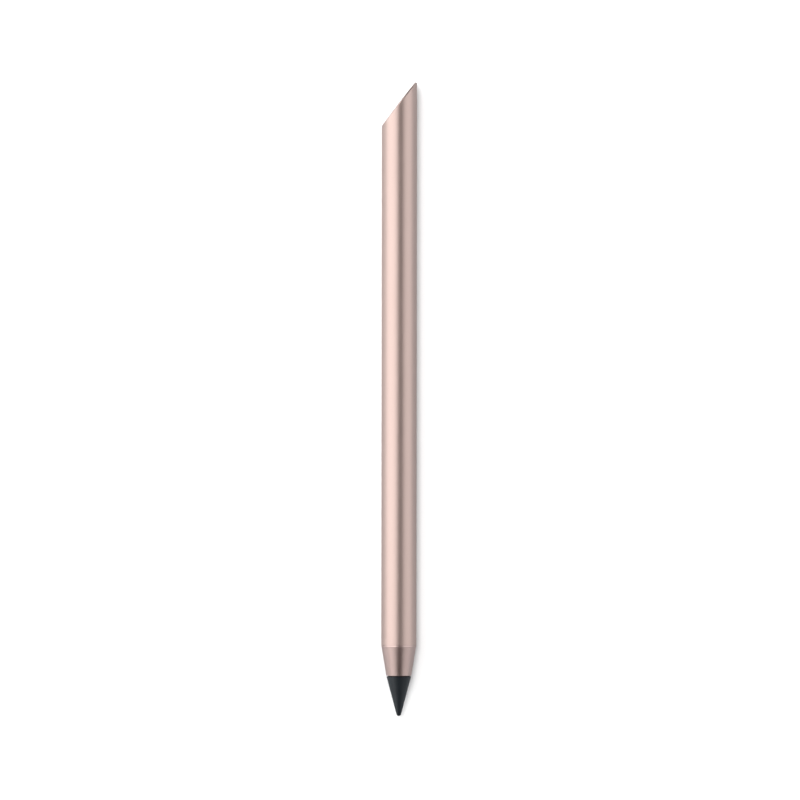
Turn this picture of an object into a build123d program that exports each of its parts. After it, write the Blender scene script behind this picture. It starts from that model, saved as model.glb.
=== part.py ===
from build123d import *

import os
from math import acos, atan2, cos, degrees, hypot, radians, sin, tan

# Inkless metal pencil, lying on a table. A round metal tube is cut off at a slant and closed
# by a plug. A tapered nose collar is bonded into its other end, and a graphite tip on a
# threaded stud screws into the collar. Millimetres, +Z up, the tip towards -Y, and the long
# side of the slanted end towards +X.

# Barrel tube
barrel_diameter = 8.0
barrel_wall = 0.8
barrel_length = 128.6  # from the tube's square end to the slanted end's sharp point
cut_angle = 52.8  # degrees between the slanted end and a square cut
cut_edge_radius = 0.3

# Plug in the slanted end
plug_depth = 5.0  # of full round plug below the slanted end's low side
plug_edge_chamfer = 0.1
plug_lead_chamfer = 0.5

# Nose collar
collar_length = 7.0
collar_land = 0.42  # full-round strip between the tube's end and the taper
collar_step = 0.08  # edge break between that strip and the taper
collar_front_diameter = 5.7
collar_edge_radius = 0.2
spigot_length = 8.0
spigot_lead_chamfer = 0.4
relief_diameter = 3.6  # hole behind the threaded insert

# Threaded insert in the collar
insert_length = 5.5
insert_wall = 0.75
insert_recess = 0.3  # of the insert below the collar's front face
insert_chamfer = 0.2

# Writing tip, its stud and the washer under it
tip_length = 9.0
tip_base_diameter = 5.6
tip_point_radius = 0.55
tip_edge_chamfer = 0.12
stud_diameter = 3.0
stud_reach = 5.0  # of the stud behind the collar's front face
stud_cover = 0.5  # least graphite around the stud's blind end
stud_chamfer = 0.3
washer_diameter = 5.0
washer_thickness = 0.2

# Clearances, all on the radius
bond_gap = 0.02  # glued and pressed joints
thread_gap = 0.05  # stud in the insert
washer_gap = 0.1  # washer on the stud

# Radii of the round pieces, from the inside of each fit outwards
barrel_radius = barrel_diameter / 2
bore_radius = barrel_radius - barrel_wall
plug_radius = bore_radius - bond_gap
spigot_radius = bore_radius - bond_gap
taper_back_radius = barrel_radius - collar_step
collar_front_radius = collar_front_diameter / 2
tip_base_radius = tip_base_diameter / 2
stud_radius = stud_diameter / 2
insert_bore_radius = stud_radius + thread_gap
insert_radius = insert_bore_radius + insert_wall
socket_radius = insert_radius + bond_gap
washer_bore_radius = stud_radius + washer_gap
stud_hole_radius = stud_radius + bond_gap

# The slanted end's rim is rounded as far as the tube's wall allows at the sharp point
slant = radians(cut_angle)
half_point_angle = radians(90 - cut_angle) / 2
wall_along_slant = barrel_wall / cos(slant)
rim_radius = min(cut_edge_radius, 0.9 * wall_along_slant * tan(half_point_angle))
point_setback = rim_radius / tan(half_point_angle) - rim_radius

# Stations along the pencil, with the middle of its finished length at 0
finished_length = tip_length + washer_thickness + collar_length + barrel_length - point_setback
tip_point_y = -finished_length / 2
tip_base_y = tip_point_y + tip_length
collar_front_y = tip_base_y + washer_thickness
tube_front_y = collar_front_y + collar_length
taper_back_y = tube_front_y - collar_land - collar_step
cut_high_y = tube_front_y + barrel_length
cut_low_y = cut_high_y - barrel_diameter * tan(slant)
plug_back_y = cut_low_y - plug_depth
spigot_end_y = tube_front_y + spigot_length
insert_front_y = collar_front_y + insert_recess
socket_floor_y = insert_front_y + insert_length

# The collar's front edge is rounded as far as its wall around the insert allows
collar_taper = atan2(taper_back_radius - collar_front_radius, taper_back_y - collar_front_y)
collar_front_wall = collar_front_radius - socket_radius
collar_edge_round = min(collar_edge_radius, 0.6 * collar_front_wall)

# The tip's flank is tangent to the ball at its point
ball_y = tip_point_y + tip_point_radius
tip_taper = acos(tip_point_radius / hypot(tip_base_radius, tip_base_y - ball_y))
tip_taper -= atan2(tip_base_y - ball_y, tip_base_radius)
flank_end = (ball_y - tip_point_radius * sin(tip_taper), tip_point_radius * cos(tip_taper))

# The stud goes into the tip until the graphite around its blind end is down to its cover
stud_depth = (tip_base_radius - stud_hole_radius - stud_cover) / tan(tip_taper)
stud_front_y = tip_base_y - stud_depth
stud_length = stud_depth + washer_thickness + stud_reach

# Profiles are drawn beside the pencil's axis: station along it, then radius
pencil_axis = Axis((0, 0, barrel_radius), (0, 1, 0))
profile_plane = Plane(origin=(0, 0, barrel_radius), x_dir=(0, 1, 0), z_dir=(1, 0, 0))
cut_plane = Plane(
    origin=(barrel_radius, cut_high_y, barrel_radius),
    x_dir=(0, 0, 1),
    z_dir=(-sin(slant), cos(slant), 0),
)
tip_base_plane = Plane(origin=(0, tip_base_y, barrel_radius), x_dir=(1, 0, 0), z_dir=(0, 1, 0))
from_axis = (Align.MIN, Align.MIN)

os.makedirs("parts", exist_ok=True)

# Barrel tube: cut off at a slant, with the outer rim of the cut rounded
with BuildPart() as barrel_tube:
    with BuildSketch(profile_plane):
        with Locations((tube_front_y, bore_radius)):
            Rectangle(barrel_length, barrel_wall, align=from_axis)
    revolve(axis=pencil_axis)
    split(bisect_by=cut_plane, keep=Keep.BOTTOM)
    slanted_face = faces().filter_by(GeomType.PLANE).sort_by(Axis.Y)[-1]
    fillet(slanted_face.outer_wire().edges(), radius=rim_radius)
barrel_tube.part.label = "barrel_tube"
export_step(barrel_tube.part, "parts/barrel_tube.step")

# End plug: a round slug bonded into the tube and cut flush with it by the same plane
with BuildPart() as end_plug:
    with BuildSketch(profile_plane):
        with Locations((plug_back_y, 0)):
            Rectangle(cut_high_y - plug_back_y, plug_radius, align=from_axis)
    revolve(axis=pencil_axis)
    split(bisect_by=cut_plane, keep=Keep.BOTTOM)
    plug_ends = faces().filter_by(GeomType.PLANE).sort_by(Axis.Y)
    chamfer(plug_ends[-1].outer_wire().edges(), length=plug_edge_chamfer)
    back_end = faces().filter_by(GeomType.PLANE).sort_by(Axis.Y)[0]
    chamfer(back_end.outer_wire().edges(), length=plug_lead_chamfer)
end_plug.part.label = "end_plug"
export_step(end_plug.part, "parts/end_plug.step")

# Nose collar: a strip and taper in front of the tube, a spigot inside it, an insert's socket
with BuildPart() as nose_collar:
    with BuildSketch(profile_plane):
        with BuildLine():
            Polyline(
                (collar_front_y, socket_radius),
                (collar_front_y, collar_front_radius),
                (taper_back_y, taper_back_radius),
                (tube_front_y - collar_land, barrel_radius),
                (tube_front_y, barrel_radius),
                (tube_front_y, spigot_radius),
                (spigot_end_y, spigot_radius),
                (spigot_end_y, relief_diameter / 2),
                (socket_floor_y, relief_diameter / 2),
                (socket_floor_y, socket_radius),
                close=True,
            )
        make_face()
    revolve(axis=pencil_axis)
    front_edge = faces().sort_by(Axis.Y)[0].outer_wire().edges()
    fillet(front_edge, radius=collar_edge_round)
    spigot_edge = faces().sort_by(Axis.Y)[-1].outer_wire().edges()
    chamfer(spigot_edge, length=spigot_lead_chamfer)
nose_collar.part.label = "nose_collar"
export_step(nose_collar.part, "parts/nose_collar.step")

# Threaded insert: seated on the socket's floor, its bore at the thread's running size
with BuildPart() as thread_insert:
    with BuildSketch(profile_plane):
        with Locations((insert_front_y, insert_bore_radius)):
            Rectangle(insert_length, insert_wall, align=from_axis)
    revolve(axis=pencil_axis)
    chamfer(edges().filter_by(GeomType.CIRCLE), length=insert_chamfer)
thread_insert.part.label = "thread_insert"
export_step(thread_insert.part, "parts/thread_insert.step")

# Tip washer: a thin flat ring on the stud, between the collar and the tip
with BuildPart() as tip_washer:
    with BuildSketch(profile_plane):
        with Locations((tip_base_y, washer_bore_radius)):
            Rectangle(washer_thickness, washer_diameter / 2 - washer_bore_radius, align=from_axis)
    revolve(axis=pencil_axis)
tip_washer.part.label = "tip_washer"
export_step(tip_washer.part, "parts/tip_washer.step")

# Writing tip: a cone with a rounded point and a blind hole for the stud
with BuildPart() as tip_cone:
    with BuildSketch(profile_plane):
        with BuildLine():
            flank = Line((tip_base_y, tip_base_radius), flank_end)
            ball = TangentArc(flank @ 1, (tip_point_y, 0), tangent=flank % 1)
            Polyline(ball @ 1, (tip_base_y, 0), flank @ 0)
        make_face()
    revolve(axis=pencil_axis)
    chamfer(faces().sort_by(Axis.Y)[-1].outer_wire().edges(), length=tip_edge_chamfer)
    with Locations(tip_base_plane):
        Hole(radius=stud_hole_radius, depth=stud_depth)
tip_cone.part.label = "tip_cone"
export_step(tip_cone.part, "parts/tip_cone.step")

# Stud: bonded into the tip, with its other end in the threaded insert
with BuildPart() as tip_stud:
    with BuildSketch(profile_plane):
        with Locations((stud_front_y, 0)):
            Rectangle(stud_length, stud_radius, align=from_axis)
    revolve(axis=pencil_axis)
    chamfer(edges().filter_by(GeomType.CIRCLE), length=stud_chamfer)
tip_stud.part.label = "tip_stud"
export_step(tip_stud.part, "parts/tip_stud.step")

print(f"finished length {finished_length:.2f} mm, barrel diameter {barrel_diameter:.2f} mm")
print(f"tip's half angle {degrees(tip_taper):.2f}, collar's {degrees(collar_taper):.2f} degrees")
print(f"stud {stud_length:.2f} mm long, {stud_depth:.2f} mm of it in the tip")
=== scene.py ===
import math

import bmesh
import bpy
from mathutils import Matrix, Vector


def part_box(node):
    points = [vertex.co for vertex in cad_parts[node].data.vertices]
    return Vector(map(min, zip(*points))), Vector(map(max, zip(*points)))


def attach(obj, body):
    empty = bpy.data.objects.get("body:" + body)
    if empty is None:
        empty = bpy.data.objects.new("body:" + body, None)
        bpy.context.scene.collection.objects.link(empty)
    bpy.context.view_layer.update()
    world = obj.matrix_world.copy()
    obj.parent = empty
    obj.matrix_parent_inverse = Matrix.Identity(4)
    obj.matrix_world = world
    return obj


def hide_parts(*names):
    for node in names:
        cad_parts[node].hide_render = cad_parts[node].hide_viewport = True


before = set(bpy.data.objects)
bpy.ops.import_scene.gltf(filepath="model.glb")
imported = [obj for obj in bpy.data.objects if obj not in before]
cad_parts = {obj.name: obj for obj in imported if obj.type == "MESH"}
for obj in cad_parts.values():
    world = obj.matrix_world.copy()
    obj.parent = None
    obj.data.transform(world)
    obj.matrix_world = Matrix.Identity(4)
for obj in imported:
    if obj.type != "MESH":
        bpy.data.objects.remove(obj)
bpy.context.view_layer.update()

# the pencil lies along Y on the table, and it is modelled in mm and shrunk to metres at the end
perMetre = 1000  # mm
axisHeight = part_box("barrel_tube")[1].z * perMetre / 2
fullRadius = -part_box("barrel_tube")[0].x * perMetre
pencilAxis = Vector((0, 0, axisHeight))
fullTurn = 2 * math.pi
near = 0.001  # points are found when they are this close to a place
seamGap = 0.0002  # points this close are merged
cutSlack = 0.00001  # points this close to a cutting plane lie on it
softAngle = math.radians(35)  # edges flatter than this are shaded smooth


def station(node, end):
    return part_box(node)[end].y * perMetre  # where a solid starts (0) or ends (1) along the pencil


# modelling helpers, most of them for the piece that is open in edit mode

def openPiece(name):
    # names the shape that was just added and opens it
    piece = bpy.context.object
    piece.name = name
    bpy.ops.object.transform_apply(location=True, rotation=True, scale=True)
    bpy.ops.object.mode_set(mode="EDIT")
    return piece


def pick(kind, test):
    # selects the edges or faces whose every corner passes a test by its place
    bpy.ops.mesh.select_mode(type=kind)
    bpy.ops.mesh.select_all(action="DESELECT")
    drawn = bpy.context.object.data
    mesh = bmesh.from_edit_mesh(drawn)
    found = 0
    for part in mesh.edges if kind == "EDGE" else mesh.faces:
        if all(test(corner.co) for corner in part.verts):
            part.select_set(True)
            found += 1
    bmesh.update_edit_mesh(drawn)
    return found


def fromAxis(place):
    return math.hypot(place.x, place.z - axisHeight)


def pickRing(at, radius):
    # one turned edge, found by its station and radius
    found = pick("EDGE", lambda p: abs(p.y - at) < near and abs(fromAxis(p) - radius) < near)
    if not found:
        raise RuntimeError(f"no edge at station {at} and radius {radius}")


def bevelPicked(width, segments):
    bpy.ops.mesh.bevel(offset_type="OFFSET", offset=width, segments=segments, affect="EDGES")


def bevelRing(at, radius, width, segments):
    pickRing(at, radius)
    bevelPicked(width, segments)


def startProfile(name, at, radius, height=axisHeight):
    bpy.ops.mesh.primitive_plane_add(size=1, location=(radius, at, height))
    piece = openPiece(name)
    bpy.ops.mesh.select_mode(type="VERT")
    bpy.ops.mesh.select_all(action="SELECT")
    bpy.ops.mesh.merge(type="CENTER")  # the plane shrinks to one point, the pen
    return piece


def drawLine(*points):
    # draws on from the pen, which is the selected point
    drawn = bpy.context.object.data
    for at, radius in points:
        pen = next(vert.co.copy() for vert in bmesh.from_edit_mesh(drawn).verts if vert.select)
        bpy.ops.mesh.extrude_region_move(TRANSFORM_OT_translate={"value": (radius - pen.x, at - pen.y, 0)})


def turnProfile(steps):
    bpy.ops.mesh.select_all(action="SELECT")
    bpy.ops.mesh.spin(steps=steps, angle=fullTurn, center=pencilAxis, axis=(0, 1, 0))
    closeSeams()


def closeSeams():
    bpy.ops.mesh.select_all(action="SELECT")
    bpy.ops.mesh.remove_doubles(threshold=seamGap)
    bpy.ops.mesh.normals_make_consistent(inside=False)


def cutOff(place, normal):
    # cuts the piece off along a plane and fills the cut
    bpy.ops.mesh.select_all(action="SELECT")
    bpy.ops.mesh.bisect(
        plane_co=place, plane_no=normal, clear_outer=True, use_fill=True, threshold=cutSlack)


def applyModifier(piece, kind, **settings):
    modifier = piece.modifiers.new(kind.title(), kind)
    for name, value in settings.items():
        setattr(modifier, name, value)
    bpy.ops.object.modifier_apply(modifier=modifier.name)


def closePiece(piece, body, node, finish, smoothTo=softAngle):
    if piece.mode == "EDIT":
        bpy.ops.object.mode_set(mode="OBJECT")
    piece.scale = [1 / perMetre] * 3
    bpy.ops.object.transform_apply(location=True, rotation=True, scale=True)
    bpy.ops.object.shade_smooth_by_angle(angle=smoothTo)
    applyModifier(piece, "WEIGHTED_NORMAL", keep_sharp=True)  # flat faces stay flat beside their bevels
    piece.data.materials.append(finish)
    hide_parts(node)
    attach(piece, body)
    print("made", piece.name, "with", len(piece.data.polygons), "faces, riding on", body)


# shader maths: a Wire is one socket, and sums on wires add Math nodes

class Wire:
    def __init__(self, tree, socket):
        self.tree = tree
        self.socket = socket

    def node(self, kind, settings, sockets, out=None):
        # any node by its type, settings and socket values, read at its first output or at a named one
        made = self.tree.nodes.new("ShaderNode" + kind)
        for name, value in settings.items():
            setattr(made, name, value)
        for name, value in sockets.items():
            socket = next(s for s in made.inputs if name in (s.identifier, s.name))
            if isinstance(value, Wire):
                self.tree.links.new(value.socket, socket)
            else:
                socket.default_value = value
        return Wire(self.tree, next(s for s in made.outputs if out in (None, s.identifier, s.name)))

    def maths(self, operation, first, second=0.0):
        return self.node("Math", {"operation": operation}, {"Value": first, "Value_001": second})

    def __add__(self, other):
        return self.maths("ADD", self, other)

    def __radd__(self, other):
        return self.maths("ADD", other, self)

    def __sub__(self, other):
        return self.maths("SUBTRACT", self, other)

    def __rsub__(self, other):
        return self.maths("SUBTRACT", other, self)

    def __mul__(self, other):
        return self.maths("MULTIPLY", self, other)

    def __rmul__(self, other):
        return self.maths("MULTIPLY", other, self)

    def __abs__(self):
        return self.maths("ABSOLUTE", self)

    def between(self, low, high):
        # 0 below low, 1 above high, smooth in between
        return self.node("MapRange", {"interpolation_type": "SMOOTHSTEP"},
                         {"Value": self, "From Min": low, "From Max": high})

    def tint(self, first, second):
        # this value mixes two colours
        return self.node("Mix", {"data_type": "RGBA"},
                         {"Factor_Float": self, "A_Color": first, "B_Color": second}, "Result_Color")

    def grain(self, scale, detail, roughness):
        # noise on these coordinates, stretched by three scales per metre
        placed = self.node("Mapping", {}, {"Vector": self, "Scale": scale})
        return self.node("TexNoise", {}, {
            "Vector": placed, "Scale": 1.0, "Detail": detail, "Roughness": roughness})

    def sway(self, amount):
        # noise lies about a half, and this swings it about nothing
        return (self - 0.5) * amount

    def along(self, direction):
        return self.node("VectorMath", {"operation": "DOT_PRODUCT"},
                         {"Vector": self, "Vector_001": direction}, "Value")


def startFinish(name):
    material = bpy.data.materials.new(name)
    material.use_nodes = True
    tree = material.node_tree
    tree.nodes.clear()
    return material, Wire(tree, tree.nodes.new("ShaderNodeTexCoord").outputs["Object"])


def endFinish(place, sockets, relief, look):
    # relief is the bump's height from 0 to 1, and the look's depth is that height in metres
    bump = place.node("Bump", {}, {
        "Height": relief, "Distance": look["depth"], "Strength": look["strength"]})
    surface = place.node("BsdfPrincipled", {}, dict(sockets, Normal=bump))
    output = place.tree.nodes.new("ShaderNodeOutputMaterial")
    place.tree.links.new(surface.socket, output.inputs["Surface"])


def rgb(red, green, blue):
    return (red, green, blue, 1.0)


# the slanted end's plane, shared by the tube, the plug and their finish
slant = dict(angle=math.radians(52.8), rimRadius=0.3)
halfPoint = (math.pi / 2 - slant["angle"]) / 2
cutHigh = station("barrel_tube", 1) + slant["rimRadius"] / math.tan(halfPoint) - slant["rimRadius"]
cutPoint = Vector((axisHeight, cutHigh, axisHeight))
cutNormal = Vector((-math.sin(slant["angle"]), math.cos(slant["angle"]), 0))
cutLength = Vector((math.cos(slant["angle"]), math.sin(slant["angle"]), 0))

# blasted and dyed metal: a noise is its scales, detail and roughness, and distances are in metres
anodised = dict(
    blast=((15000, 15000, 15000), 2, 0.6), blastTone=0.35, blastRough=0.05, blastRelief=0.55,
    drawn=((2600, 45, 2600), 3, 0.6), drawnTone=0.5, drawnRough=0.05, drawnRelief=0.22,
    cloud=((120, 70, 120), 2, 0.5), cloudTone=0.4, cloudRough=0.06,
    scratch=((70, 6500, 1), 3, 0.65), scratchRough=0.12, scratchRelief=1.6, sandedOff=0.25,
    faceFull=0.00003, faceEnd=0.00008,
    rub=((700, 700, 700), 3, 0.6), rubFrom=0.42, rubFull=0.72, rubReach=0.0011, rubRough=0.05,
    roughness=0.425, depth=0.000018, strength=0.45)


def anodisedFinish(name, look):
    material, place = startFinish(name)
    blast = place.grain(*look["blast"])  # fine blasted skin
    drawn = place.grain(*look["drawn"])  # faint lines along the drawn tube
    cloud = place.grain(*look["cloud"])  # slow unevenness of the dye
    tone = 0.5 + cloud.sway(look["cloudTone"]) + drawn.sway(look["drawnTone"])
    tone = tone + blast.sway(look["blastTone"])
    colour = tone.tint(look["deep"], look["light"])
    # the cut face is sanded along its length, and its outer rim is rubbed bright
    offset = abs(place.along(cutNormal) - cutNormal.dot(cutPoint) / perMetre)
    face = 1 - offset.between(look["faceFull"], look["faceEnd"])
    onFace = place.node("CombineXYZ", {}, {"X": place.along(cutLength), "Y": place.along((0, 0, 1))})
    scratch = onFace.grain(*look["scratch"])
    rubbed = 1 - offset.between(0, look["rubReach"])
    wear = rubbed * place.grain(*look["rub"]).between(look["rubFrom"], look["rubFull"]) * look["wear"]
    colour = wear.tint(colour, look["bare"])
    roughness = look["roughness"] + cloud.sway(look["cloudRough"]) + drawn.sway(look["drawnRough"])
    roughness = roughness + blast.sway(look["blastRough"]) + face * scratch.sway(look["scratchRough"])
    roughness = roughness - wear * look["rubRough"]
    relief = blast * (look["blastRelief"] - look["sandedOff"] * face)
    relief = relief + drawn * look["drawnRelief"] * (1 - face) + scratch * look["scratchRelief"] * face
    endFinish(place, {"Base Color": colour, "Roughness": roughness, "Metallic": 1.0}, relief, look)
    return material


# barrel tube
barrel = dict(
    wall=0.8, steps=192, edgeBreak=0.045, edgeSteps=2, lead=0.15, shelfDrop=2, rimSteps=12,
    look=dict(anodised, light=rgb(0.85, 0.65, 0.592), deep=rgb(0.79, 0.602, 0.548),
              bare=rgb(0.88, 0.80, 0.77), wear=0.5))


def onCut(radius, angle):
    # the point of the slanted plane above one angle round the pencil
    across = radius * math.cos(angle)
    rise = (across - axisHeight) * math.tan(slant["angle"])
    return Vector((across, cutHigh + rise, axisHeight + radius * math.sin(angle)))


def onRim(angle, share):
    # the rounded rim is the path of a ball that rolls inside the wall and under the cut
    ball = slant["rimRadius"]
    centre = onCut(fullRadius - ball, angle) - Vector((0, ball / math.cos(slant["angle"]), 0))
    outward = Vector((math.cos(angle), 0, math.sin(angle)))
    return centre + ball * outward.slerp(cutNormal, share)


def growLoop(place):
    # extrudes the picked open loop once, and a rule places its points by their angle
    drawn = bpy.context.object.data
    bpy.ops.mesh.extrude_region_move(TRANSFORM_OT_translate={"value": (0, 0, 0)})
    mesh = bmesh.from_edit_mesh(drawn)
    turn = mesh.verts.layers.float["turn"]
    for vert in mesh.verts:
        if vert.select:
            vert.co = place(vert[turn])
    bmesh.update_edit_mesh(drawn)


def makeBarrel():
    bore = fullRadius - barrel["wall"]
    front = station("barrel_tube", 0)
    shelf = onCut(fullRadius, math.pi).y - barrel["shelfDrop"]  # the wall is plain up to here
    piece = startProfile("barrelTube", shelf, bore)
    drawLine((front + barrel["lead"], bore), (front, bore + barrel["lead"]), (front, fullRadius),
             (shelf, fullRadius))
    turnProfile(barrel["steps"])
    bevelRing(front, fullRadius, barrel["edgeBreak"], barrel["edgeSteps"])
    mesh = bmesh.from_edit_mesh(piece.data)
    turn = mesh.verts.layers.float.new("turn")
    for vert in mesh.verts:
        vert[turn] = math.atan2(vert.co.z - axisHeight, vert.co.x)
    bmesh.update_edit_mesh(piece.data)
    pickRing(shelf, bore)
    growLoop(lambda angle: onCut(bore, angle))
    pickRing(shelf, fullRadius)
    for step in range(barrel["rimSteps"] + 1):
        growLoop(lambda angle: onRim(angle, step / barrel["rimSteps"]))
    growLoop(lambda angle: onCut(bore, angle))
    closeSeams()
    finish = anodisedFinish("roseAnodised", barrel["look"])
    closePiece(piece, "barrel", "barrel_tube", finish)


makeBarrel()


# plug in the slanted end, sanded flush with the tube
plug = dict(
    radius=3.18, sides=160, edgeBreak=0.1, edgeSteps=3, leadChamfer=0.5, leadSteps=2,
    look=dict(barrel["look"], wear=0.15))


def makePlug():
    back = station("end_plug", 0)
    bpy.ops.mesh.primitive_cylinder_add(
        vertices=plug["sides"], radius=plug["radius"], depth=cutHigh - back, end_fill_type="NGON",
        location=(0, (back + cutHigh) / 2, axisHeight), rotation=(math.pi / 2, 0, 0))
    piece = openPiece("endPlug")
    cutOff(cutPoint, cutNormal)
    pick("EDGE", lambda p: abs((p - cutPoint).dot(cutNormal)) < near)
    bevelPicked(plug["edgeBreak"], plug["edgeSteps"])
    bevelRing(back, plug["radius"], plug["leadChamfer"], plug["leadSteps"])
    closeSeams()
    finish = anodisedFinish("plugAnodised", plug["look"])
    closePiece(piece, "barrel", "end_plug", finish)


makePlug()


# nose collar
collar = dict(
    frontRadius=2.85, frontRound=0.07, frontSteps=5, land=0.42, step=0.08, edgeBreak=0.04, edgeSteps=2,
    spigotRadius=3.18, spigotChamfer=0.4, socketRadius=2.32, socketDepth=5.8, socketBreak=0.08,
    reliefRadius=1.8, steps=192,
    look=dict(barrel["look"], light=rgb(0.83, 0.63, 0.585), deep=rgb(0.76, 0.575, 0.535), wear=0.0,
              roughness=0.365))


def makeCollar():
    front = station("nose_collar", 0)
    back = station("nose_collar", 1)
    shoulder = station("barrel_tube", 0)
    taperBack = shoulder - collar["land"] - collar["step"]
    socketFloor = front + collar["socketDepth"]
    piece = startProfile("noseCollar", front, collar["socketRadius"])
    drawLine((front, collar["frontRadius"]), (taperBack, fullRadius - collar["step"]),
             (shoulder - collar["land"], fullRadius), (shoulder, fullRadius),
             (shoulder, collar["spigotRadius"]), (back, collar["spigotRadius"]),
             (back, collar["reliefRadius"]), (socketFloor, collar["reliefRadius"]),
             (socketFloor, collar["socketRadius"]), (front, collar["socketRadius"]))
    turnProfile(collar["steps"])
    bevelRing(front, collar["frontRadius"], collar["frontRound"], collar["frontSteps"])
    bevelRing(front, collar["socketRadius"], collar["socketBreak"], collar["edgeSteps"])
    bevelRing(back, collar["spigotRadius"], collar["spigotChamfer"], collar["edgeSteps"])
    bevelRing(shoulder, fullRadius, collar["edgeBreak"], collar["edgeSteps"])
    finish = anodisedFinish("mauveAnodised", collar["look"])
    closePiece(piece, "barrel", "nose_collar", finish)


makeCollar()


# writing tip: a cone with a ball point, drilled for its stud
tip = dict(
    baseRadius=2.8, edgeBreak=0.05, edgeSteps=3, holeRadius=1.52, pointRadius=0.55, ballSteps=16,
    steps=160,
    look=dict(
        light=rgb(0.027, 0.038, 0.048), deep=rgb(0.010, 0.016, 0.022), fleck=rgb(0.085, 0.097, 0.11),
        powder=((5200, 5200, 5200), 4, 0.65), powderTone=0.7, powderRough=0.16, powderRelief=0.6,
        rings=((90, 6000, 90), 2, 0.5), ringTone=0.25, ringRelief=0.4,
        cloud=((420, 420, 420), 3, 0.55), cloudTone=0.7, cloudRough=0.1,
        flecks=((11000, 11000, 11000), 2, 0.5), fleckFrom=0.63, fleckFull=0.72, flecking=0.35,
        wornFull=0.0002, wornEnd=0.0016, polish=0.1, roughness=0.4, gloss=0.72,
        depth=0.00003, strength=0.7))


def graphiteFinish(name, look):
    material, place = startFinish(name)
    point = station("tip_cone", 0) / perMetre
    powder = place.grain(*look["powder"])  # pressed grains
    rings = place.grain(*look["rings"])  # left by the turning tool
    cloud = place.grain(*look["cloud"])
    flecks = place.grain(*look["flecks"]).between(look["fleckFrom"], look["fleckFull"])
    worn = 1 - place.along((0, 1, 0)).between(point + look["wornFull"], point + look["wornEnd"])
    tone = 0.5 + powder.sway(look["powderTone"]) + cloud.sway(look["cloudTone"])
    tone = tone + rings.sway(look["ringTone"])
    colour = tone.tint(look["deep"], look["light"])
    colour = (flecks * look["flecking"]).tint(colour, look["fleck"])
    roughness = look["roughness"] + powder.sway(look["powderRough"]) + cloud.sway(look["cloudRough"])
    roughness = roughness - worn * look["polish"]
    relief = powder * look["powderRelief"] + rings * look["ringRelief"] * (1 - worn)
    endFinish(place, {"Base Color": colour, "Roughness": roughness, "Specular IOR Level": look["gloss"]},
              relief, look)
    return material


def makeTip():
    point = station("tip_cone", 0)
    base = station("tip_cone", 1)
    holeFloor = station("tip_stud", 0)
    ball = point + tip["pointRadius"]
    taper = math.acos(tip["pointRadius"] / math.hypot(tip["baseRadius"], base - ball))
    taper -= math.atan2(base - ball, tip["baseRadius"])
    piece = startProfile("tipCone", point, 0)
    bpy.ops.mesh.spin(steps=tip["ballSteps"], angle=math.pi / 2 - taper,
                      center=(0, ball, axisHeight), axis=(0, 0, -1))
    drawLine((base, tip["baseRadius"]), (base, tip["holeRadius"]),
             (holeFloor, tip["holeRadius"]), (holeFloor, 0))
    turnProfile(tip["steps"])
    bevelRing(base, tip["baseRadius"], tip["edgeBreak"], tip["edgeSteps"])
    finish = graphiteFinish("graphiteCompound", tip["look"])
    closePiece(piece, "tip", "tip_cone", finish)


makeTip()


# thread of the stud and of the insert: one pitch of its outline, screwed along the axis
thread = dict(
    pitch=0.5, slope=math.tan(math.radians(30)), steps=48, join=0.0001, spare=0.125, weld=0.004,
    softAngle=math.radians(25))
# both threads are counted from this station, so they are in step
threadStart = station("tip_stud", 1) + thread["pitch"]


def makeThread(name, front, back, crest, crestHalf, root):
    # the outline's crest lies in the middle of the pitch, and the ends are cut off square past the piece
    pitch = thread["pitch"]
    foot = crestHalf + (crest - root) * thread["slope"]
    low = front - thread["spare"]
    high = back + thread["spare"]
    first = math.floor((low - threadStart) / pitch) - 1  # the first turn starts as a wedge
    last = math.ceil((high - threadStart) / pitch)
    piece = startProfile(name, 0, root, 0)
    drawLine((pitch / 2 - foot, root), (pitch / 2 - crestHalf, crest), (pitch / 2 + crestHalf, crest),
             (pitch / 2 + foot, root), (pitch, root))
    bpy.ops.object.mode_set(mode="OBJECT")
    applyModifier(piece, "SCREW", axis="Y", angle=fullTurn, screw_offset=pitch, iterations=last - first,
                  steps=thread["steps"], render_steps=thread["steps"],
                  use_merge_vertices=True, merge_threshold=thread["join"])
    piece.location = (0, threadStart + first * pitch, axisHeight)
    bpy.ops.object.transform_apply(location=True, rotation=True, scale=True)
    bpy.ops.object.mode_set(mode="EDIT")
    cutOff((0, low, 0), (0, -1, 0))
    cutOff((0, high, 0), (0, 1, 0))
    closeSeams()
    bpy.ops.object.mode_set(mode="OBJECT")
    return piece


def combine(piece, tool, operation):
    bpy.ops.object.select_all(action="DESELECT")
    piece.select_set(True)
    bpy.context.view_layer.objects.active = piece
    applyModifier(piece, "BOOLEAN", operation=operation, object=tool, solver="EXACT")
    bpy.data.objects.remove(tool)
    # slivers along the cut are merged away
    bpy.ops.object.mode_set(mode="EDIT")
    bpy.ops.mesh.select_all(action="SELECT")
    bpy.ops.mesh.remove_doubles(threshold=thread["weld"])
    bpy.ops.mesh.dissolve_degenerate(threshold=thread["weld"] / 2)
    bpy.ops.mesh.delete_loose()
    bpy.ops.object.mode_set(mode="OBJECT")


# plain turned metal, a little tarnished
plainMetal = dict(
    turned=((60, 4200, 60), 3, 0.6), turnedTone=0.6, turnedRough=0.12,
    cloud=((500, 500, 500), 3, 0.55), cloudTone=0.8, cloudRough=0.1,
    spots=((1500, 1500, 1500), 3, 0.6), spotFrom=0.5, spotFull=0.8, spotRough=0.08,
    depth=0.00001, strength=0.3)


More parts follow.
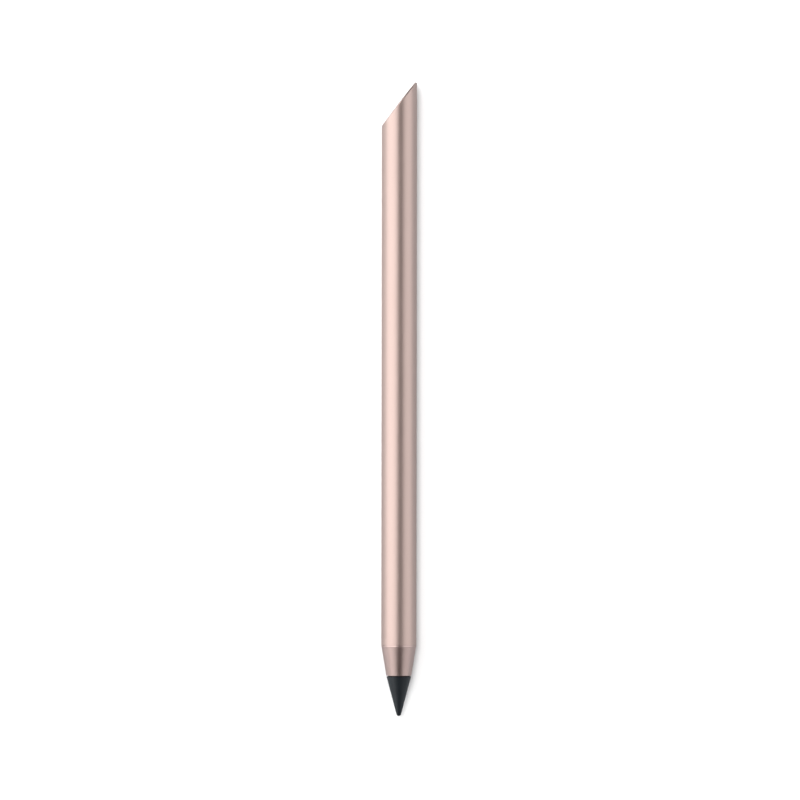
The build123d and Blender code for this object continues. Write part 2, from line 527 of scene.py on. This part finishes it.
def plainMetalFinish(name, look):
    material, place = startFinish(name)
    turned = place.grain(*look["turned"])  # marks of turning, round the axis
    cloud = place.grain(*look["cloud"])
    spots = place.grain(*look["spots"]).between(look["spotFrom"], look["spotFull"])
    tone = 0.5 + turned.sway(look["turnedTone"]) + cloud.sway(look["cloudTone"])
    colour = tone.tint(look["deep"], look["light"])
    colour = (spots * look["tarnishing"]).tint(colour, look["tarnish"])
    roughness = look["roughness"] + turned.sway(look["turnedRough"]) + cloud.sway(look["cloudRough"])
    roughness = roughness + spots * look["spotRough"]
    endFinish(place, {"Base Color": colour, "Roughness": roughness, "Metallic": 1.0}, turned, look)
    return material


# stud: a length of threaded rod with chamfered ends
stud = dict(
    crest=1.495, crestHalf=0.03125, root=1.193, chamfer=0.3, blankRise=0.4, blankSteps=96,
    look=dict(plainMetal, light=rgb(0.66, 0.65, 0.64), deep=rgb(0.5, 0.49, 0.48),
              tarnish=rgb(0.33, 0.31, 0.29), tarnishing=0.3, roughness=0.3))


def makeStud():
    front = station("tip_stud", 0)
    back = station("tip_stud", 1)
    piece = makeThread("tipStud", front, back, stud["crest"], stud["crestHalf"], stud["root"])
    small = stud["crest"] - stud["chamfer"]
    rise = stud["blankRise"]
    blank = startProfile("studBlank", front, 0)
    drawLine((front, small), (front + rise, small + rise),
             (back - rise, small + rise), (back, small), (back, 0))
    turnProfile(stud["blankSteps"])
    bpy.ops.object.mode_set(mode="OBJECT")
    combine(piece, blank, "INTERSECT")
    finish = plainMetalFinish("studSteel", stud["look"])
    closePiece(piece, "tip", "tip_stud", finish, thread["softAngle"])


makeStud()


# threaded insert: a brass bush with a knurled band, tapped for the stud
insert = dict(
    radius=2.3, edgeBreak=0.2, bore=1.2294, countersink=1.75, steps=96,
    tapCrest=1.55, tapCrestHalf=0.02, tapRoot=1.15, knurlFrom=1.0, knurlDepth=0.12, knurlInset=0.02,
    look=dict(plainMetal, light=rgb(0.80, 0.60, 0.27), deep=rgb(0.66, 0.47, 0.19),
              tarnish=rgb(0.36, 0.24, 0.1), tarnishing=0.35, roughness=0.27))


def makeInsert():
    front = station("thread_insert", 0)
    back = station("thread_insert", 1)
    tap = makeThread("insertTap", front, back,
                     insert["tapCrest"], insert["tapCrestHalf"], insert["tapRoot"])
    radius = insert["radius"]
    edge = radius - insert["edgeBreak"]
    sink = insert["countersink"] - insert["bore"]
    low = front + insert["knurlFrom"]
    high = back - insert["knurlFrom"]
    piece = startProfile("threadInsert", front, insert["countersink"])
    drawLine((front, edge), (front + insert["edgeBreak"], radius), (low, radius), (high, radius),
             (back - insert["edgeBreak"], radius), (back, edge), (back, insert["countersink"]),
             (back - sink, insert["bore"]), (front + sink, insert["bore"]),
             (front, insert["countersink"]))
    turnProfile(insert["steps"])
    # every other face of the band is pressed in
    pick("FACE", lambda p: low - near < p.y < high + near and abs(fromAxis(p) - radius) < near)
    drawn = bmesh.from_edit_mesh(piece.data)
    for face in drawn.faces:
        middle = face.calc_center_median() - pencilAxis
        step = math.floor(math.atan2(middle.x, middle.z) / fullTurn * insert["steps"])
        if face.select and step % 2:
            face.select_set(False)
    bmesh.update_edit_mesh(piece.data)
    bpy.ops.mesh.inset(use_individual=True, thickness=insert["knurlInset"], depth=-insert["knurlDepth"])
    bpy.ops.object.mode_set(mode="OBJECT")
    combine(piece, tap, "DIFFERENCE")
    finish = plainMetalFinish("insertBrass", insert["look"])
    closePiece(piece, "barrel", "thread_insert", finish, thread["softAngle"])


makeInsert()


# washer under the tip
washer = dict(
    bore=1.6, radius=2.5, round=0.07, roundSteps=3, steps=128,
    look=dict(
        light=rgb(0.035, 0.035, 0.036), deep=rgb(0.016, 0.016, 0.017), dust=rgb(0.09, 0.088, 0.085),
        skin=((7000, 7000, 7000), 4, 0.65), skinTone=0.6,
        cloud=((600, 600, 600), 3, 0.5), cloudTone=0.8, cloudRough=0.16,
        specks=((2600, 2600, 2600), 4, 0.7), speckFrom=0.55, speckFull=0.75, speckRough=0.1, dusting=0.25,
        roughness=0.72, depth=0.00002, strength=0.35))


def rubberFinish(name, look):
    material, place = startFinish(name)
    skin = place.grain(*look["skin"])
    cloud = place.grain(*look["cloud"])
    specks = place.grain(*look["specks"]).between(look["speckFrom"], look["speckFull"])
    tone = 0.5 + skin.sway(look["skinTone"]) + cloud.sway(look["cloudTone"])
    colour = tone.tint(look["deep"], look["light"])
    colour = (specks * look["dusting"]).tint(colour, look["dust"])
    roughness = look["roughness"] + cloud.sway(look["cloudRough"]) + specks * look["speckRough"]
    endFinish(place, {"Base Color": colour, "Roughness": roughness}, skin, look)
    return material


def makeWasher():
    low = station("tip_washer", 0)
    high = station("tip_washer", 1)
    piece = startProfile("tipWasher", low, washer["bore"])
    drawLine((low, washer["radius"]), (high, washer["radius"]),
             (high, washer["bore"]), (low, washer["bore"]))
    turnProfile(washer["steps"])
    for at in (low, high):
        for radius in (washer["bore"], washer["radius"]):
            bevelRing(at, radius, washer["round"], washer["roundSteps"])
    finish = rubberFinish("washerRubber", washer["look"])
    closePiece(piece, "washer", "tip_washer", finish)


makeWasher()


# camera straight above, turned a little so that the pencil leans as it does in the photo
view = dict(
    field=0.18208, height=1.6, x=0.0002, y=-0.00018, turn=0.066, sensor=36, nearest=0.05, farthest=20)
bpy.ops.object.camera_add(location=(view["x"], view["y"], axisHeight / perMetre + view["height"]),
                          rotation=(0, 0, math.radians(view["turn"])))
camera = bpy.context.object
camera.data.sensor_width = view["sensor"]
camera.data.lens = view["sensor"] * view["height"] / view["field"]
camera.data.clip_start = view["nearest"]
camera.data.clip_end = view["farthest"]
bpy.context.scene.camera = camera
print("camera lens", round(camera.data.lens, 1), "mm")


# studio, in metres: the camera sees a pale sweep, and the metal mirrors greyer cards just under it
studio = dict(
    reach=4.6, sides=128, bend=0.5, bendSteps=10, wall=1.2, paper=rgb(0.86, 0.86, 0.86), farGlow=0.6,
    # painted shade: the mirrored cards are a darker copy of the paper, and the right card's darker tone
    # stands for the shade on the floor to the pencil's right
    cardLitTone=rgb(0.455, 0.47, 0.475), cardShadedTone=rgb(0.30, 0.315, 0.325), cardReach=2.5, cardSides=64,
    cardSink=0.0001, paperLight=2.5, paperSpread=25, paperLean=(-8, -4.7),
    room=rgb(0.018, 0.0075, 0.0055),
    paperLook=dict(
        fibres=((900, 900, 900), 3, 0.6), fibreTone=0.05,
        shadeWay=(1, -0.1, 0), shadeFrom=-0.022, shadeFull=0.008, glowFrom=0.4, glowFull=0.7,
        roughness=0.9, depth=0.00002, strength=0.05))

# panels beside the pencil, each hung between two angles from straight up, in degrees
# the wing carries the left panel on past its front end, where the collar's taper mirrors it
panels = dict(
    leftSoftbox=dict(top=-10.1, foot=-89.5, away=0.72, start=-0.205, end=0.55,
                     radiance=1.39, colour=(0.985, 1.0, 1.0)),
    leftWing=dict(top=-22.5, foot=-59, away=0.72, start=-0.4, end=-0.205,
                  radiance=0.53, colour=(0.985, 1.0, 1.0)),
    rightSoftbox=dict(top=25.5, foot=89, away=0.72, start=-0.31, end=0.55,
                      radiance=0.9, colour=(0.975, 1.0, 1.01)))

# a small panel low in front draws a highlight along the side that the photo's view doesn't show
frontFill = dict(towards=(-0.66, -0.683, 0.31), away=0.75, wide=0.6, tall=0.28,
                 radiance=0.85, colour=(1.0, 1.0, 1.0))


def paperFinish(name, litTone, shadedTone, glow):
    look = studio["paperLook"]
    material, place = startFinish(name)
    fibres = place.grain(*look["fibres"])
    # painted shade: the shaded tone takes over to the pencil's right, where the pencil shades the floor,
    # and reaches nearer the pencil towards its tip
    paintedShade = place.along(look["shadeWay"]).between(look["shadeFrom"], look["shadeFull"])
    tone = (paintedShade + fibres.sway(look["fibreTone"])).tint(litTone, shadedTone)
    away = place.node("VectorMath", {"operation": "LENGTH"}, {"Vector": place}, "Value")
    far = away.between(look["glowFrom"], look["glowFull"]).tint(rgb(0, 0, 0), rgb(glow, glow, glow))
    endFinish(place, {"Base Color": tone, "Roughness": look["roughness"], "Specular IOR Level": 0.0,
                      "Emission Color": far, "Emission Strength": 1.0}, fibres, look)
    material.cycles.emission_sampling = "NONE"  # the glow is for the eye and lights nothing
    return material


def makePapers():
    bpy.ops.mesh.primitive_circle_add(
        vertices=studio["sides"], radius=studio["reach"], fill_type="NGON", location=(0, 0, 0))
    sweep = openPiece("paperSweep")
    pick("EDGE", lambda p: p.z < near)
    bpy.ops.mesh.extrude_region_move(TRANSFORM_OT_translate={"value": (0, 0, studio["wall"])})
    pick("EDGE", lambda p: p.z < near)
    bevelPicked(studio["bend"], studio["bendSteps"])
    bpy.ops.object.mode_set(mode="OBJECT")
    bpy.ops.object.shade_smooth_by_angle(angle=softAngle)
    pale = paperFinish("paleSweep", studio["paper"], studio["paper"], studio["farGlow"])
    sweep.data.materials.append(pale)
    sweep.visible_glossy = False
    sweep.visible_diffuse = False
    sweep.visible_shadow = False
    bpy.ops.mesh.primitive_circle_add(
        vertices=studio["cardSides"], radius=studio["cardReach"], fill_type="NGON",
        location=(0, 0, -studio["cardSink"]))
    under = bpy.context.object
    under.name = "mirroredFloor"
    cards = paperFinish("mirroredCards", studio["cardLitTone"], studio["cardShadedTone"], 0.0)
    under.data.materials.append(cards)
    under.visible_camera = False
    under.visible_shadow = False
    return sweep, under


def hangPanel(name, place, rotation, wide, tall, box):
    bpy.ops.object.light_add(type="AREA", location=place, rotation=rotation)
    panel = bpy.context.object
    panel.name = name
    panel.data.shape = "RECTANGLE"
    panel.data.size = wide
    panel.data.size_y = tall
    panel.data.energy = box["radiance"] * math.pi * wide * tall
    panel.data.color = box["colour"]
    panel.visible_camera = False


def makeSoftbox(name, box):
    angles = [math.radians(box["top"]), math.radians(box["foot"])]
    top, foot = [Vector((math.sin(a), 0, math.cos(a))) * box["away"] for a in angles]
    middle = (top + foot) / 2
    lean = math.atan2(middle.x, middle.z)
    middle.y = (box["start"] + box["end"]) / 2
    hangPanel(name, middle, (0, lean, 0), (top - foot).length, box["end"] - box["start"], box)


def makeFill(name, box):
    towards = Vector(box["towards"])
    facing = towards.to_track_quat("Z", "Y").to_euler()
    hangPanel(name, towards * box["away"], facing, box["wide"], box["tall"], box)


def lightPapers(papers):
    # a wide lamp straight above lights the papers alone, so the pencil keeps its dark stripe
    lean = [math.radians(angle) for angle in studio["paperLean"]]
    bpy.ops.object.light_add(type="SUN", rotation=(lean[0], lean[1], 0))
    paperLamp = bpy.context.object
    paperLamp.name = "paperLamp"
    paperLamp.data.energy = studio["paperLight"]
    paperLamp.data.angle = math.radians(studio["paperSpread"])
    lit = bpy.data.collections.new("litByPaperLamp")
    for paper in papers:
        lit.objects.link(paper)
    paperLamp.light_linking.receiver_collection = lit


def makeRoom():
    world = bpy.data.worlds.new("studioRoom")
    world.use_nodes = True
    bpy.context.scene.world = world
    tree = world.node_tree
    tree.nodes.clear()
    room = Wire(tree, None).node("Background", {}, {"Color": studio["room"], "Strength": 1.0})
    tree.links.new(room.socket, tree.nodes.new("ShaderNodeOutputWorld").inputs["Surface"])
    bpy.context.scene.view_settings.view_transform = "Standard"


papers = makePapers()
for panelName, panelBox in panels.items():
    makeSoftbox(panelName, panelBox)
makeFill("frontFill", frontFill)
lightPapers(papers)
makeRoom()
print("studio set with", len(panels) + 1, "panels")
